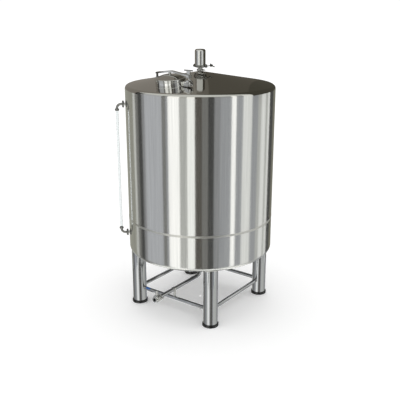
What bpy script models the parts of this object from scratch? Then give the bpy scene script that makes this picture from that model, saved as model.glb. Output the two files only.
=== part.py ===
"""Glycol tank: an upright insulated stainless tank on four tubular legs, with a hinged manway and a vent
on its shallow cone roof, a level gauge on one side and a bottom outlet pipe with a lever valve.

Metres, +Z up. The origin is on the floor below the tank's axis, and the outlet faces -Y.
"""

import math

import bmesh
import bpy
from mathutils import Vector

# Tank body
TANK_R = 0.710
WALL = 0.050
RIM_Z = 2.200
CONE_RISE = 0.1267
TOP_KNUCKLE_R = 0.034
BOTTOM_Z = 0.583
BOTTOM_KNUCKLE_R = 0.048
SEAM_Z = 0.926
TANK_STEPS = 64

# Legs, feet and braces
LEG_R = 0.06985
LEG_OFFSET = 0.4425
LEG_STEPS = 32
FOOT_R = 0.0785
FOOT_H = 0.027
BRACE_R = 0.01905
BRACE_Z = 0.158

# Clearance between pieces that touch
GAP = 0.0003

# Tube and clamp sizes: 1.5 inch and 4 inch sanitary tube
TUBE_R = 0.01905
TUBE_WALL = 0.00165
FLANGE_R = 0.02525
FLANGE_T = 0.0060
BIG_TUBE_R = 0.0508
BIG_FLANGE_R = 0.0595
TUBE_STEPS = 24
ROUND_STEPS = 32

# Bottom outlet
OUTLET_Z = 0.2496
ELBOW_BEND_R = 0.057
VALVE_Y = -0.697
VALVE_HALF = 0.040
LEVER_Z = 0.318
LEVER_LENGTH = 0.158

# Manway, in a frame whose origin lies 10 mm under the roof's outside and whose Z leans forwards
MANWAY_X = 0.002
MANWAY_Y = -0.448
MANWAY_Z = 2.2368
MANWAY_LEAN = math.radians(5.0)
NECK_R = 0.1345
NECK_STEPS = 48
NECK_WALL = 0.004
NECK_TOP = 0.058
NECK_BOTTOM = -0.046
LID_R = 0.1400
LID_RIM_Z = 0.070
LID_CROWN_Z = 0.102
LID_PIN = (-0.1505, 0.0, 0.060)
BOLT_PIN = (0.208, 0.0, 0.045)
BRIDGE_W = 0.030
BRIDGE_T = 0.013
BRIDGE_PEAK_U = 0.019
BRIDGE_PEAK_Z = 0.133
FORK_W = 0.038
HANDLE_Z = 0.146

# Level gauge, on the ray over the left leg
GAUGE_ANGLE = math.radians(-135)
GAUGE_TOP_Z = 2.032
GAUGE_LOW_Z = 0.758
GAUGE_FLANGE_X = 0.730
GAUGE_TUBE_X = 0.788
GAUGE_PIPE_R = 0.0112
GAUGE_BEND_R = 0.038
GLAND_R = 0.020
GLAND_H = 0.020
SIGHT_R = 0.0125
SIGHT_WALL = 0.003

# Vent valve on the tank's axis
VENT_JOINT_Z = 2.335
CAN_JOINT_Z = 2.374
CAN_TOP_Z = 2.526
CAN_EDGE_R = 0.018

UPRIGHT = (math.radians(90), 0, 0)
SLOPE = math.atan2(CONE_RISE, TANK_R)
INNER_R = TANK_R - WALL


def clear_scene():
    for old in list(bpy.data.objects):
        bpy.data.objects.remove(old, do_unlink=True)


clear_scene()
PARTS = bpy.data.collections.new("glycol_tank")
CUTTERS = bpy.data.collections.new("cutters")
bpy.context.scene.collection.children.link(PARTS)
bpy.context.scene.collection.children.link(CUTTERS)


def principled(name, colour, roughness, metallic, transmission=0.0):
    material = bpy.data.materials.new(name)
    material.use_nodes = True
    shader = material.node_tree.nodes["Principled BSDF"]
    shader.inputs["Base Color"].default_value = (*colour, 1.0)
    shader.inputs["Roughness"].default_value = roughness
    shader.inputs["Metallic"].default_value = metallic
    shader.inputs["Transmission Weight"].default_value = transmission
    return material


SHELL_STEEL = principled("shell_steel", (0.60, 0.60, 0.58), 0.28, 1.0)
ROOF_STEEL = principled("roof_steel", (0.55, 0.53, 0.50), 0.15, 1.0)
LEG_STEEL = principled("leg_steel", (0.58, 0.58, 0.57), 0.25, 1.0)
FITTING_STEEL = principled("fitting_steel", (0.66, 0.66, 0.66), 0.18, 1.0)
FOOT_BLACK = principled("foot_black", (0.02, 0.02, 0.02), 0.25, 0.0)
GRIP_BLUE = principled("grip_blue", (0.03, 0.10, 0.35), 0.35, 0.0)
SIGHT_CLEAR = principled("sight_clear", (0.92, 0.95, 0.95), 0.05, 0.0, 1.0)


def put(name, mesh, material=None, parent=None, at=(0, 0, 0), turn=(0, 0, 0)):
    """A new object of this mesh: a part when it has a material, and else a cutter."""
    made = bpy.data.objects.new(name, mesh)
    made.location = at
    made.rotation_euler = turn
    made.parent = parent
    if material:
        mesh.materials.append(material)
        PARTS.objects.link(made)
    else:
        made.hide_render = True
        made.display_type = "WIRE"
        CUTTERS.objects.link(made)
    return made


def empty(name, at, turn=(0, 0, 0), parent=None):
    made = bpy.data.objects.new(name, None)
    made.location = at
    made.rotation_euler = turn
    made.parent = parent
    PARTS.objects.link(made)
    return made


def turned(name, profile, material=None, steps=TUBE_STEPS, closed=False, **place):
    """Turns (radius, height) points about the object's own Z. The profile runs down its outer side."""
    points = [(radius, 0.0, height) for radius, height in profile]
    edges = [(i, i + 1) for i in range(len(points) - 1)]
    if closed:
        edges.append((len(points) - 1, 0))
    mesh = bpy.data.meshes.new(name)
    mesh.from_pydata(points, edges, [])
    made = put(name, mesh, material, **place)
    screw = made.modifiers.new("turn", "SCREW")
    screw.steps = steps
    screw.render_steps = steps
    screw.use_merge_vertices = True
    screw.merge_threshold = 0.00005
    return made


def ring(name, inner, outer, low, high, material=None, **place):
    """A plain ring of rectangular section about Z."""
    profile = [(outer, high), (outer, low), (inner, low), (inner, high)]
    return turned(name, profile, material, closed=True, **place)


def rod(name, radius, start, end, material=None, steps=TUBE_STEPS, parent=None):
    """A straight round bar between two points."""
    start, end = Vector(start), Vector(end)
    shape = bmesh.new()
    bmesh.ops.create_cone(
        shape, cap_ends=True, segments=steps, radius1=radius, radius2=radius, depth=(end - start).length
    )
    mesh = bpy.data.meshes.new(name)
    shape.to_mesh(mesh)
    shape.free()
    made = put(name, mesh, material, parent, at=(start + end) / 2)
    made.rotation_mode = "QUATERNION"
    made.rotation_quaternion = (end - start).to_track_quat("Z", "Y")
    return made


def box(name, low, high, material=None, parent=None):
    """An upright box between two corners."""
    low, high = Vector(low), Vector(high)
    shape = bmesh.new()
    bmesh.ops.create_cube(shape, size=1.0)
    bmesh.ops.scale(shape, vec=high - low, verts=shape.verts)
    mesh = bpy.data.meshes.new(name)
    shape.to_mesh(mesh)
    shape.free()
    return put(name, mesh, material, parent, at=(low + high) / 2)


def mesh_of_curve(curve, name, material, parent, at, turn):
    """The curve as a welded mesh object."""
    holder = bpy.data.objects.new(name + "_curve", curve)
    PARTS.objects.link(holder)
    graph = bpy.context.evaluated_depsgraph_get()
    mesh = bpy.data.meshes.new_from_object(holder.evaluated_get(graph))
    bpy.data.objects.remove(holder, do_unlink=True)
    shape = bmesh.new()
    shape.from_mesh(mesh)
    bmesh.ops.remove_doubles(shape, verts=shape.verts, dist=0.00002)
    bmesh.ops.recalc_face_normals(shape, faces=shape.faces)
    shape.to_mesh(mesh)
    shape.free()
    return put(name, mesh, material, parent, at, turn)


def swept(name, path, radius, material=None, filled=True, parent=None, at=(0, 0, 0), turn=(0, 0, 0)):
    """A round tube or bar along a path of points."""
    curve = bpy.data.curves.new(name, "CURVE")
    curve.dimensions = "3D"
    curve.twist_mode = "MINIMUM"
    curve.bevel_depth = radius
    curve.bevel_resolution = 5
    curve.use_fill_caps = filled
    spline = curve.splines.new("POLY")
    spline.points.add(len(path) - 1)
    for point, place in zip(spline.points, path):
        point.co = (*place, 1.0)
    return mesh_of_curve(curve, name, material, parent, at, turn)


def plate(name, outline, thickness, material=None, parent=None, at=(0, 0, 0), turn=(0, 0, 0)):
    """A flat outline in the object's own XY plane, half its thickness to each side."""
    curve = bpy.data.curves.new(name, "CURVE")
    curve.dimensions = "2D"
    curve.fill_mode = "BOTH"
    curve.extrude = thickness / 2
    spline = curve.splines.new("POLY")
    spline.points.add(len(outline) - 1)
    for point, (x, y) in zip(spline.points, outline):
        point.co = (x, y, 0.0, 1.0)
    spline.use_cyclic_u = True
    return mesh_of_curve(curve, name, material, parent, at, turn)


def boolean(target, tool, operation):
    cut = target.modifiers.new(operation.lower(), "BOOLEAN")
    cut.operation = operation
    cut.object = tool
    cut.solver = "EXACT"
    tool.hide_render = True
    tool.display_type = "WIRE"
    return target


def cut(target, *tools):
    for tool in tools:
        boolean(target, tool, "DIFFERENCE")
    return target


def join(target, *tools):
    for tool in tools:
        boolean(target, tool, "UNION")
    return target


def arc(centre, radius, start, end, steps):
    """Points on an arc, with both ends, in degrees."""
    angles = [math.radians(start + (end - start) * i / steps) for i in range(steps + 1)]
    return [(centre[0] + radius * math.cos(a), centre[1] + radius * math.sin(a)) for a in angles]


def roof_z(radius):
    """Height of the roof's outside at this distance from the axis."""
    return RIM_Z + CONE_RISE * (1 - radius / TANK_R)


def knuckle(edge_z, knuckle_r, up, offset=0.0):
    """(centre height, arc points from the wall to the cone) of a rounded rim between wall and cone."""
    centre_r = TANK_R - knuckle_r
    line_z = edge_z + up * CONE_RISE * (1 - centre_r / TANK_R)
    centre_z = line_z - up * knuckle_r / math.cos(SLOPE)
    turn = up * (90 - math.degrees(SLOPE))
    return centre_z, arc((centre_r, centre_z), knuckle_r + offset, 0, turn, 4)


ROOF_EDGE_Z = knuckle(RIM_Z, TOP_KNUCKLE_R, 1)[0]
HEAD_EDGE_Z = knuckle(BOTTOM_Z, BOTTOM_KNUCKLE_R, -1)[0]
HOLE_R = TUBE_R + 0.0004


def halves(name, make):
    """The front half and the back half of a round body, each cut from its own full turn."""
    reach = 2 * TANK_R
    for side, low, high in (("front", -reach, -GAP / 2), ("back", GAP / 2, reach)):
        whole = make(f"{name}_{side}")
        keep = box(f"{name}_{side}_half", (-reach, low, -0.1), (reach, high, 3.0))
        boolean(whole, keep, "INTERSECT")


def shell_course(low, high):
    def make(name):
        profile = [(TANK_R, high), (TANK_R, low), (INNER_R, low), (INNER_R, high)]
        return turned(name, profile, SHELL_STEEL, TANK_STEPS, closed=True)

    return make


def add_shell():
    halves("shell_lower", shell_course(HEAD_EDGE_Z + GAP, SEAM_Z))
    halves("shell_upper", shell_course(SEAM_Z + GAP, ROOF_EDGE_Z - GAP))


def manway_hole(name, frame):
    reach = 0.1
    hole_r = NECK_R + 2 * GAP
    return rod(name, hole_r, (0, 0, -reach), (0, 0, reach), steps=NECK_STEPS, parent=frame)


def add_roof(manway_frame):
    lining = ROOF_EDGE_Z + 0.0005 - roof_z(INNER_R)

    def make(name):
        rim = knuckle(RIM_Z, TOP_KNUCKLE_R, 1)[1]
        outside = [(HOLE_R, roof_z(HOLE_R))] + rim[::-1]
        inside = [(INNER_R, ROOF_EDGE_Z), (INNER_R, roof_z(INNER_R) + lining)]
        inside.append((HOLE_R, roof_z(HOLE_R) + lining))
        roof = turned(name, outside + inside, ROOF_STEEL, TANK_STEPS, closed=True)
        if name.endswith("front"):
            cut(roof, manway_hole("roof_manway_hole", manway_frame))
        return roof

    halves("roof", make)


def head_z(radius):
    """Height of the bottom head's outside."""
    return BOTTOM_Z - CONE_RISE * (1 - radius / TANK_R)


def add_bottom_head():
    lining = HEAD_EDGE_Z - 0.0005 - head_z(INNER_R)

    def make(name):
        rim = knuckle(BOTTOM_Z, BOTTOM_KNUCKLE_R, -1)[1]
        inside = [(HOLE_R, head_z(HOLE_R) + lining), (INNER_R, head_z(INNER_R) + lining)]
        inside.append((INNER_R, HEAD_EDGE_Z))
        outside = rim + [(HOLE_R, head_z(HOLE_R))]
        return turned(name, inside + outside, SHELL_STEEL, TANK_STEPS, closed=True)

    halves("bottom_head", make)


def head_envelope(name):
    """The bottom head's outside grown by the gap, to cut the leg tops to its shape."""
    top = HEAD_EDGE_Z + 0.2
    rim = knuckle(BOTTOM_Z, BOTTOM_KNUCKLE_R, -1, GAP)[1]
    profile = [(0, top), (TANK_R + GAP, top)] + rim + [(0, head_z(0) - GAP)]
    return turned(name, profile, steps=TANK_STEPS)


CORNERS = {"front_left": (-1, -1), "front_right": (1, -1), "back_right": (1, 1), "back_left": (-1, 1)}


def add_legs():
    head = head_envelope("head_envelope")
    edge = 0.003
    foot = [(0, FOOT_H), (FOOT_R - edge, FOOT_H), (FOOT_R, FOOT_H - edge)]
    foot += [(FOOT_R, edge), (FOOT_R - edge, 0), (0, 0)]
    for corner, (side_x, side_y) in CORNERS.items():
        x, y = side_x * LEG_OFFSET, side_y * LEG_OFFSET
        leg = rod(f"leg_{corner}", LEG_R, (x, y, FOOT_H + GAP), (x, y, HEAD_EDGE_Z), LEG_STEEL, LEG_STEPS)
        cut(leg, head)
        turned(f"foot_{corner}", foot, FOOT_BLACK, LEG_STEPS, at=(x, y, 0))


def add_braces():
    around = {}
    low, high = BRACE_Z - 2 * BRACE_R, BRACE_Z + 2 * BRACE_R
    for corner, (side_x, side_y) in CORNERS.items():
        x, y = side_x * LEG_OFFSET, side_y * LEG_OFFSET
        name = f"leg_{corner}_clearance"
        around[corner] = rod(name, LEG_R + 2 * GAP, (x, y, low), (x, y, high), steps=LEG_STEPS)
    spans = {
        "brace_front": ("front_left", "front_right"),
        "brace_right": ("front_right", "back_right"),
        "brace_back": ("back_right", "back_left"),
        "brace_left": ("back_left", "front_left"),
    }
    for name, ends in spans.items():
        start, end = ((*(side * LEG_OFFSET for side in CORNERS[corner]), BRACE_Z) for corner in ends)
        brace = rod(name, BRACE_R, start, end, LEG_STEEL)
        cut(brace, around[ends[0]], around[ends[1]])


def add_outlet_pipe():
    """The riser and elbow under the tank, the straight pipe and its clip on the front brace."""
    bend = arc((-ELBOW_BEND_R, OUTLET_Z + ELBOW_BEND_R), ELBOW_BEND_R, 0, -90, 6)
    elbow_end = ELBOW_BEND_R + 0.004
    path = [(0, 0, head_z(0) + 0.040)] + [(0, y, z) for y, z in bend] + [(0, -elbow_end, OUTLET_Z)]
    elbow = swept("outlet_elbow", path, TUBE_R, FITTING_STEEL, filled=False)
    wall = elbow.modifiers.new("wall", "SOLIDIFY")
    wall.thickness = TUBE_WALL
    wall.offset = -1.0
    start, end = elbow_end + GAP, -VALVE_Y - VALVE_HALF
    bore = TUBE_R - TUBE_WALL
    profile = [(FLANGE_R, end), (FLANGE_R, end - FLANGE_T), (TUBE_R, end - FLANGE_T)]
    profile += [(TUBE_R, start), (bore, start), (bore, end)]
    turned("outlet_pipe", profile, FITTING_STEEL, closed=True, at=(0, 0, OUTLET_Z), turn=UPRIGHT)
    add_pipe_clip()


def add_pipe_clip():
    """A collar round the outlet pipe on a short post that stands on the front brace."""
    half, reach = 0.012, 0.1
    y, post_left, post_right = -LEG_OFFSET, 0.006, 0.018
    clip = rod("pipe_clip", TUBE_R + 0.004, (0, y + half, OUTLET_Z), (0, y - half, OUTLET_Z), FITTING_STEEL)
    post = box("pipe_clip_post", (post_left, y - half, BRACE_Z), (post_right, y + half, OUTLET_Z))
    pipe_space = rod("pipe_clearance", TUBE_R + 0.0005, (0, y + reach, OUTLET_Z), (0, y - reach, OUTLET_Z))
    brace_space = rod("brace_clearance", BRACE_R + GAP, (-reach, y, BRACE_Z), (reach, y, BRACE_Z))
    cut(join(clip, post), pipe_space, brace_space)


def clamp(name, flange_r, nut_reach, frame, nut_scale=1.0, tall=1.0, nut_turn=0.0):
    """A clamp ring about the frame's Z, with its hinge knuckle, its ears, the bolt and the wing nut.
    The knuckle and ears are tall times the usual height, and the wings turn about the bolt in degrees."""
    half, edge = 0.009, 0.002
    inner, outer = flange_r + 2 * GAP, flange_r + 0.0075
    section = [(outer - edge, half), (outer, half - edge), (outer, edge - half)]
    section += [(outer - edge, -half), (inner, -half), (inner, half)]
    body = turned(name, section, FITTING_STEEL, closed=True, parent=frame)
    hinge_w, ear_w, ear_t, bite = 0.007, 0.009, 0.008, 0.004
    hinge_t, ear_t = hinge_w * tall, ear_t * tall
    hinge_low, hinge_high = (-outer - 0.010, -hinge_w, -hinge_t), (bite - outer, hinge_w, hinge_t)
    hinge = box(f"{name}_hinge", hinge_low, hinge_high, parent=frame)
    ear = box(f"{name}_ear", (outer - bite, -ear_w, -ear_t), (outer + 0.016, ear_w, ear_t), parent=frame)
    bolt_x, bolt_r = outer + 0.009, 0.0035
    bolt = rod(f"{name}_bolt", bolt_r, (bolt_x, 0, 0), (bolt_x, nut_reach, 0), steps=12, parent=frame)
    nut_half, nut_r, wing = 0.008 * nut_scale, 0.007 * nut_scale, 0.021 * nut_scale
    nut_low, nut_high = (bolt_x, nut_reach - nut_half, 0), (bolt_x, nut_reach + nut_half, 0)
    nut = rod(f"{name}_nut", nut_r, nut_low, nut_high, steps=12, parent=frame)
    wing_t, wing_low, wing_high = 0.002, nut_reach - nut_half * 0.9, nut_reach + nut_half * 1.9
    wings = box(
        f"{name}_wings", (bolt_x - wing, wing_low, -wing_t), (bolt_x + wing, wing_high, wing_t), parent=frame
    )
    wings.rotation_euler = (0, math.radians(nut_turn), 0)
    return join(body, hinge, ear, bolt, nut, wings)


def add_valve():
    """The outlet valve: its body, the disc on its stem, the lever and its grip."""
    upside = (math.radians(90), 0, math.radians(180))
    clamp_frame = empty("outlet_clamp_frame", (0, VALVE_Y + VALVE_HALF, OUTLET_Z), upside)
    clamp("outlet_clamp", FLANGE_R, 0.026, clamp_frame)
    bore, neck, disc_r, disc_half = TUBE_R - TUBE_WALL, 0.0205, 0.036, 0.016
    front, back, mouth_r = VALVE_HALF, -VALVE_HALF + GAP, 0.0265
    profile = [(bore, front), (mouth_r, front), (mouth_r, front - FLANGE_T), (neck, front - FLANGE_T)]
    profile += [(neck, disc_half), (disc_r, disc_half), (disc_r, -disc_half), (neck, -disc_half)]
    profile += [(neck, back + FLANGE_T), (FLANGE_R, back + FLANGE_T), (FLANGE_R, back), (bore, back)]
    axis = empty("valve_lever_axis", (0, VALVE_Y, OUTLET_Z))
    body = turned("valve_body", profile, FITTING_STEEL, closed=True, at=(0, VALVE_Y, OUTLET_Z), turn=UPRIGHT)
    boss_r, boss_top, stem_r = 0.0095, 0.056, 0.005
    boss = rod("valve_boss", boss_r, (0, 0, bore + 0.003), (0, 0, boss_top), parent=axis)
    hole_top = boss_top + 0.01
    stem_hole = rod("valve_stem_hole", stem_r + 0.0005, (0, 0, 0), (0, 0, hole_top), steps=16, parent=axis)
    cut(join(body, boss), stem_hole)
    lever_z, hub_r, disc_t = LEVER_Z - OUTLET_Z, 0.010, 0.0025
    hub_top = lever_z + 0.006
    stem = rod("valve_stem", stem_r, (0, 0, 0), (0, 0, lever_z), FITTING_STEEL, 16, parent=axis)
    flap = rod("valve_flap", bore - 0.0019, (0, -disc_t, 0), (0, disc_t, 0), parent=axis)
    hub = rod("valve_hub", hub_r, (0, 0, boss_top + GAP), (0, 0, hub_top), steps=16, parent=axis)
    join(stem, flap, hub)
    bar_t, bar_w, tip_r = 0.004, 0.011, 0.006
    bar_z = hub_top + GAP + bar_t / 2
    outline = arc((0, 0), bar_w, -90, 90, 8) + arc((tip_r - LEVER_LENGTH, 0), tip_r, 90, 270, 6)
    plate("valve_lever", outline, bar_t, FITTING_STEEL, axis, at=(0, 0, bar_z))
    add_grip(axis, bar_z, bar_t)


def add_grip(axis, bar_z, bar_t):
    """The blue sleeve on the lever."""
    inner, outer = -0.083, -0.131
    half_w, half_t = 0.012, 0.008
    low, high = (outer, -half_w, bar_z - half_t), (inner, half_w, bar_z + half_t)
    grip = box("valve_grip", low, high, GRIP_BLUE, axis)
    slot_w, slot_t, reach = 0.0086, bar_t / 2 + GAP, 0.01
    slot_low, slot_high = (outer - reach, -slot_w, bar_z - slot_t), (inner + reach, slot_w, bar_z + slot_t)
    slot = box("valve_grip_slot", slot_low, slot_high, parent=axis)
    soft = grip.modifiers.new("soft_edges", "BEVEL")
    soft.width = 0.004
    soft.segments = 2
    cut(grip, slot)


def add_manway(frame):
    """The neck, its two brackets, the hinged lid with its bridge bar, and the swing bolt."""
    seat_r, bore = LID_R - 0.003, NECK_R - NECK_WALL
    seat_low = NECK_TOP - 0.008
    profile = [(bore, NECK_TOP), (seat_r, NECK_TOP), (seat_r, seat_low), (NECK_R, seat_low - 0.004)]
    profile += [(NECK_R, NECK_BOTTOM), (bore, NECK_BOTTOM)]
    turned("manway_neck", profile, FITTING_STEEL, NECK_STEPS, closed=True, parent=frame)
    add_hinge_bracket(frame)
    add_bolt_bracket(frame)
    add_lid(empty("manway_lid_axis", LID_PIN, parent=frame))
    add_swing_bolt(empty("swing_bolt_axis", BOLT_PIN, parent=frame))


PIN_R = 0.005
PIN_HOLE_R = 0.0056
EYE_HALF = 0.010
LUG_T = 0.008
LUG_V = EYE_HALF + 0.005 + LUG_T / 2


def lug_pair(name, outline, pin_at, frame):
    """Two upright lug plates of one outline, tied by the pin through them."""
    first = plate(name, outline, LUG_T, FITTING_STEEL, frame, at=(0, -LUG_V, 0), turn=UPRIGHT)
    second = plate(f"{name}_far", outline, LUG_T, None, frame, at=(0, LUG_V, 0), turn=UPRIGHT)
    reach = LUG_V + LUG_T / 2 + 0.003
    start, end = ((pin_at[0], side * reach, pin_at[2]) for side in (-1, 1))
    return join(first, second, rod(f"{name}_pin", PIN_R, start, end, steps=16, parent=frame))


def eye_hole(name, axis):
    """The hole for a pin along the axis frame's Y."""
    reach = 0.03
    return rod(name, PIN_HOLE_R, (0, -reach, 0), (0, reach, 0), parent=axis)


def add_hinge_bracket(frame):
    x, _, z = LID_PIN
    wall = -NECK_R + 0.0002
    lug_r = 0.009
    low, high = 0.012, 0.036
    outline = [(wall, low), (wall, high), (x + lug_r, high + 0.010)]
    outline += arc((x, z), lug_r, 0, 180, 8) + [(x - lug_r, high)]
    lug_pair("manway_hinge_bracket", outline, LID_PIN, frame)


def add_bolt_bracket(frame):
    x, _, z = BOLT_PIN
    wall = NECK_R - 0.0002
    low, high, outer_x, lug_r = 0.0095, 0.044, x + 0.026, 0.018
    outline = [(wall, low), (outer_x, low), (outer_x, z)] + arc((x, z), lug_r, 30, 150, 6) + [(wall, high)]
    lug_pair("manway_bolt_bracket", outline, BOLT_PIN, frame)


def add_lid(axis):
    """The lid and its bridge bar. The axis frame sits on the hinge pin."""
    centre, drop = -LID_PIN[0], LID_PIN[2]
    low, rim, crown = NECK_TOP + GAP - drop, LID_RIM_Z - drop, LID_CROWN_Z - drop
    edge = 0.003
    profile = [(0, crown), (0.040, crown - 0.003), (0.075, crown - 0.010), (0.105, crown - 0.0205)]
    profile += [(0.125, rim), (LID_R - edge, rim), (LID_R, rim - edge), (LID_R, low), (0, low)]
    turned("manway_lid", profile, FITTING_STEEL, NECK_STEPS, parent=axis, at=(centre, 0, 0))
    left, right, crest, peak_at = -0.002, centre + 0.226, 0.022, centre + BRIDGE_PEAK_U
    peak, left_z, right_z = BRIDGE_PEAK_Z - drop, 0.112 - drop, 0.104 - drop
    top = [(left, left_z), (peak_at - crest, peak - 0.002), (peak_at, peak), (peak_at + crest, peak - 0.002)]
    top.append((right, right_z))
    under = [(x, z - BRIDGE_T) for x, z in reversed(top)]
    bar = plate("manway_bridge_bar", top + under, BRIDGE_W, FITTING_STEEL, axis, turn=UPRIGHT)
    neck_x, fork_start = centre + 0.140, centre + BOLT_PIN[0] - 0.018
    slope = (right_z - peak + 0.002) / (right - peak_at - crest)
    neck_z = right_z + slope * (neck_x - right)
    fork_low, proud = right_z - 0.024, 0.0005
    end, under_z = right + proud, proud + BRIDGE_T
    fork_outline = [(neck_x, neck_z + proud), (end, right_z + proud), (end, fork_low)]
    fork_outline.append((fork_start, fork_low))
    fork_outline.append((fork_start, right_z + slope * (fork_start - right) - under_z))
    fork_outline.append((neck_x, neck_z - under_z))
    fork = plate("bridge_bar_fork", fork_outline, FORK_W, None, axis, turn=UPRIGHT)
    eye_r, leg_out, leg_in, leg_top = 0.0095, -0.0015, 0.0095, left_z - 0.004
    leg_outline = arc((0, 0), eye_r, 160, 360, 8) + [(leg_in, leg_top), (leg_out, leg_top), (leg_out, 0.016)]
    leg = plate("bridge_bar_leg", leg_outline, 2 * EYE_HALF, None, axis, turn=UPRIGHT)
    pin_hole = eye_hole("bridge_bar_pin_hole", axis)
    stud_r = 0.012
    stud_from, stud_to = (centre, 0, crown + GAP), (centre, 0, peak - 0.006)
    stud = rod("bridge_bar_stud", stud_r, stud_from, stud_to, parent=axis)
    slot_half, slot_start = 0.012, BOLT_PIN[0] + centre - 0.056
    slot_low, slot_high = (slot_start, -slot_half, right_z - 0.03), (right + 0.01, slot_half, peak)
    slot = box("bridge_bar_slot", slot_low, slot_high, parent=axis)
    cut(join(cut(join(bar, fork), slot), leg, stud), pin_hole)


def add_swing_bolt(axis):
    """The eye bolt on its pin, and the T-handle nut with its flat web. The axis frame sits on the pin."""
    rod_r, eye_r, eye_half = 0.006, 0.012, EYE_HALF - 0.002
    handle = HANDLE_Z - BOLT_PIN[2]
    web_low = handle - 0.041
    bolt = rod("swing_bolt", rod_r, (0, 0, 0.004), (0, 0, web_low - GAP), FITTING_STEEL, 16, parent=axis)
    eye = rod("swing_bolt_eye", eye_r, (0, -eye_half, 0), (0, eye_half, 0), parent=axis)
    cut(join(bolt, eye), eye_hole("swing_bolt_hole", axis))
    bar_r, half = 0.0055, 0.046
    start, end = (-half, 0, handle), (half, 0, handle)
    grip = rod("swing_bolt_handle", bar_r, start, end, FITTING_STEEL, 16, parent=axis)
    web_t, foot_w, top_w = 0.012, 0.014, 0.021
    outline = [(-foot_w, web_low), (foot_w, web_low), (top_w, handle), (-top_w, handle)]
    join(grip, plate("swing_bolt_web", outline, web_t, None, axis, turn=UPRIGHT))


def add_gauge():
    """The level gauge: two wall nozzles, clamped elbows with glands, and the clear tube between them."""
    frame = empty("gauge_frame", (0, 0, 0), (0, 0, GAUGE_ANGLE))
    shell_r, above, joint, flange_t = TANK_R + GAP, RIM_Z + 1, GAUGE_FLANGE_X, 0.005
    shell_profile = [(0, above), (shell_r, above), (shell_r, 0), (0, 0)]
    shell_space = turned("gauge_shell_space", shell_profile, steps=TANK_STEPS)
    gland_z = {}
    for end, z, way in (("upper", GAUGE_TOP_Z, -1), ("lower", GAUGE_LOW_Z, 1)):
        name = f"gauge_{end}_nozzle"
        nozzle = rod(name, GAUGE_PIPE_R, (TANK_R - 0.02, 0, z), (joint, 0, z), FITTING_STEEL, parent=frame)
        flange = rod(f"{name}_flange", FLANGE_R, (joint - flange_t, 0, z), (joint, 0, z), parent=frame)
        cut(join(nozzle, flange), shell_space)
        along_wall = (math.radians(90), 0, math.radians(90))
        clamp_frame = empty(f"gauge_{end}_clamp_frame", (joint + GAP / 2, 0, z), along_wall, frame)
        clamp(f"gauge_{end}_clamp", FLANGE_R, 0.022, clamp_frame, nut_scale=0.8)
        gland_z[end] = add_gauge_elbow(f"gauge_{end}_elbow", z, way, flange_t, frame)
    bore, place = SIGHT_R - SIGHT_WALL, (GAUGE_TUBE_X, 0, 0)
    low, high = gland_z["lower"], gland_z["upper"]
    ring("gauge_sight_tube", bore, SIGHT_R, low, high, SIGHT_CLEAR, parent=frame, at=place)


def add_gauge_elbow(name, z, way, flange_t, frame):
    """An elbow from its flange to the gland. Returns the height of the sight tube's end in the gland."""
    start, x, overlap = GAUGE_FLANGE_X + GAP, GAUGE_TUBE_X, 0.002
    turn = arc((x - GAUGE_BEND_R, z + way * GAUGE_BEND_R), GAUGE_BEND_R, -90 * way, 0, 6)
    gland_start = z + way * (GAUGE_BEND_R + 0.004)
    gland_end = gland_start + way * GLAND_H
    path = [(start + overlap / 2, 0, z)] + [(along, 0, height) for along, height in turn]
    path.append((x, 0, gland_start + way * overlap))
    flange = rod(name, FLANGE_R, (start, 0, z), (start + flange_t, 0, z), FITTING_STEEL, parent=frame)
    pipe = swept(f"{name}_pipe", path, GAUGE_PIPE_R, parent=frame)
    gland = rod(f"{name}_gland", GLAND_R, (x, 0, gland_start), (x, 0, gland_end), parent=frame)
    seat, socket_end = gland_start + way * 0.007, gland_end + way * 0.01
    socket = rod(f"{name}_socket", SIGHT_R + 0.0005, (x, 0, seat), (x, 0, socket_end), parent=frame)
    cut(join(flange, pipe, gland), socket)
    return seat + way * GAP


def add_vent():
    """The vent valve: a short nozzle, a small clamp, a conical base, a big clamp and the round can."""
    bottom, flange_t = roof_z(0) - 0.040, 0.005
    joint, can_joint = VENT_JOINT_Z, CAN_JOINT_Z
    nozzle = [(0, joint), (FLANGE_R, joint), (FLANGE_R, joint - flange_t), (TUBE_R, joint - flange_t)]
    turned("vent_nozzle", nozzle + [(TUBE_R, bottom), (0, bottom)], FITTING_STEEL)
    low = joint + GAP
    base = [(0, can_joint), (BIG_FLANGE_R, can_joint), (BIG_FLANGE_R, can_joint - FLANGE_T)]
    base += [(BIG_TUBE_R, can_joint - FLANGE_T), (BIG_TUBE_R - 0.004, can_joint - 0.014)]
    base += [(TUBE_R, can_joint - 0.022), (TUBE_R, low + flange_t), (FLANGE_R, low + flange_t)]
    turned("vent_base", base + [(FLANGE_R, low), (0, low)], FITTING_STEEL, ROUND_STEPS)
    low = can_joint + GAP
    dome = arc((BIG_TUBE_R - CAN_EDGE_R, CAN_TOP_Z - CAN_EDGE_R), CAN_EDGE_R, 90, 0, 3)
    can = [(0, CAN_TOP_Z)] + dome + [(BIG_TUBE_R, low + FLANGE_T), (BIG_FLANGE_R, low + FLANGE_T)]
    turned("vent_can", can + [(BIG_FLANGE_R, low), (0, low)], FITTING_STEEL, ROUND_STEPS)
    small = empty("vent_small_clamp_frame", (0, 0, joint + GAP / 2), (0, 0, math.radians(-25)))
    clamp("vent_small_clamp", FLANGE_R, 0.022, small, nut_scale=0.7)
    big = empty("vent_big_clamp_frame", (0, 0, can_joint + GAP / 2), (0, 0, math.radians(-5)))
    clamp("vent_big_clamp", BIG_FLANGE_R, 0.075, big, nut_scale=1.45, tall=1.8, nut_turn=28)


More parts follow.
